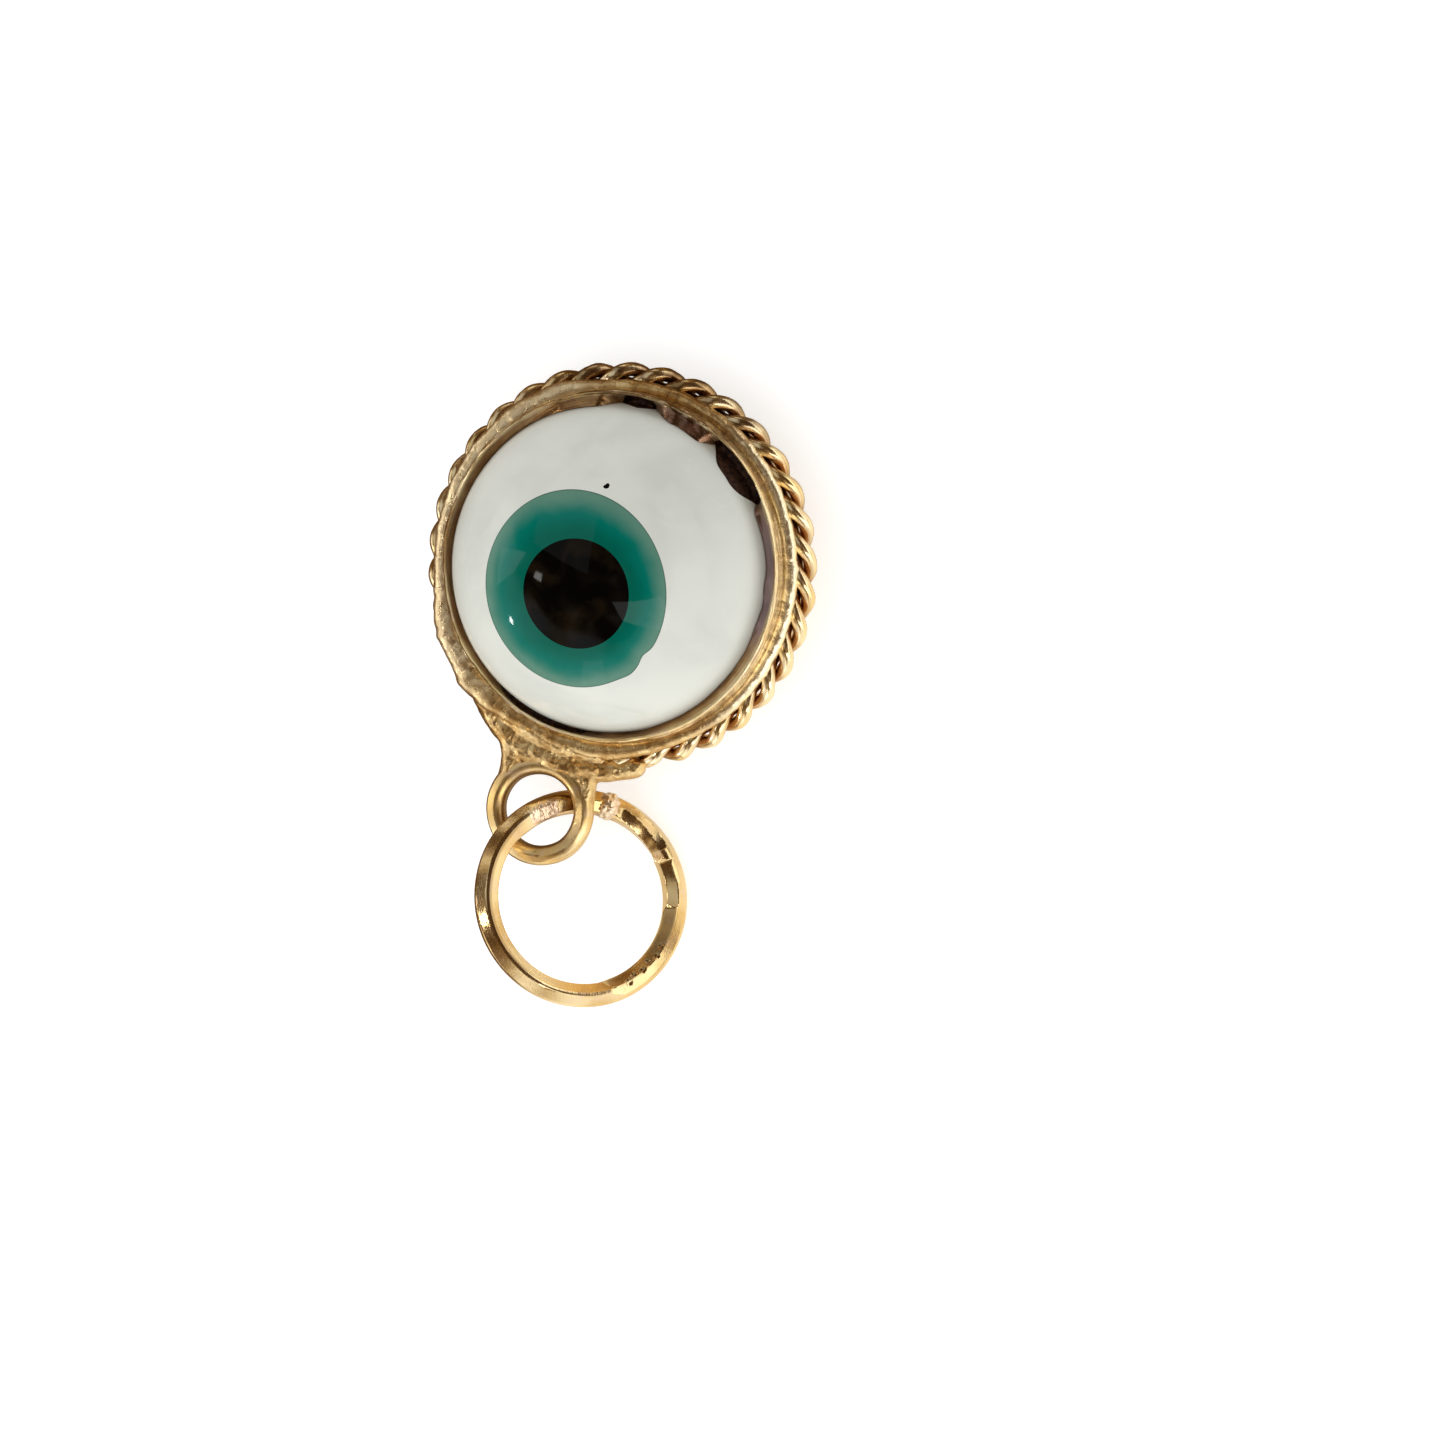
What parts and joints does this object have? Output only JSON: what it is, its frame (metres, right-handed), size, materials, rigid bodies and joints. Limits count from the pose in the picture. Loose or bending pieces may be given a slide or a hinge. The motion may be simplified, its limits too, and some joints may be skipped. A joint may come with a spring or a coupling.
{
  "type": "evil eye ornament",
  "caption": "Domed glass eye in a round closed-back bezel with a twisted wire edge, a soldered loop and a linked jump ring for hanging.",
  "frame": {"origin": "centre of the flat back face, on the eye's axis", "axes": "+Z out of the back towards the eye's apex, -Y from the eye's axis towards the fixed loop, +X completes the right-handed frame"},
  "size_m": [0.0118, 0.0185, 0.007],
  "materials": {
    "gold_satin": "hand-polished yellow gold, worn satin",
    "gold_burnished": "burnished yellow gold with rubbing marks",
    "gold_rope": "bright drawn gold wire, dark in the grooves",
    "gold_ring": "filed and polished gold wire with flats",
    "solder": "rough gold solder",
    "solder_rose": "rosy gold solder, crumpled",
    "cement": "dark brown jeweller's setting cement",
    "white_glass": "opaque white glass, fire polished",
    "teal_glass": "teal glass, fire polished",
    "black_glass": "black glass, fire polished"
  },
  "bodies": {
    "charm": {"back_plate": "gold_satin", "bezel_wall": "gold_burnished", "bezel_seam": "solder", "bearing_ledge": "gold_satin", "setting_cement": "cement", "eye_white": "white_glass", "iris_glass": "teal_glass", "pupil_glass": "black_glass", "rope_strand_a": "gold_rope", "rope_strand_b": "gold_rope", "fixed_loop": "gold_satin", "loop_solder": "solder"},
    "jump_ring": {"jump_ring": "gold_ring", "ring_solder": "solder_rose"}
  },
  "joints": [
    {"name": "ring_turn", "type": "hinge", "parent": "charm", "child": "jump_ring", "pos_m": [0, -0.00759, 0.00215], "axis": [0.6938, -0.7185, -0.0496], "range_deg": [-114, 4]}
  ]
}
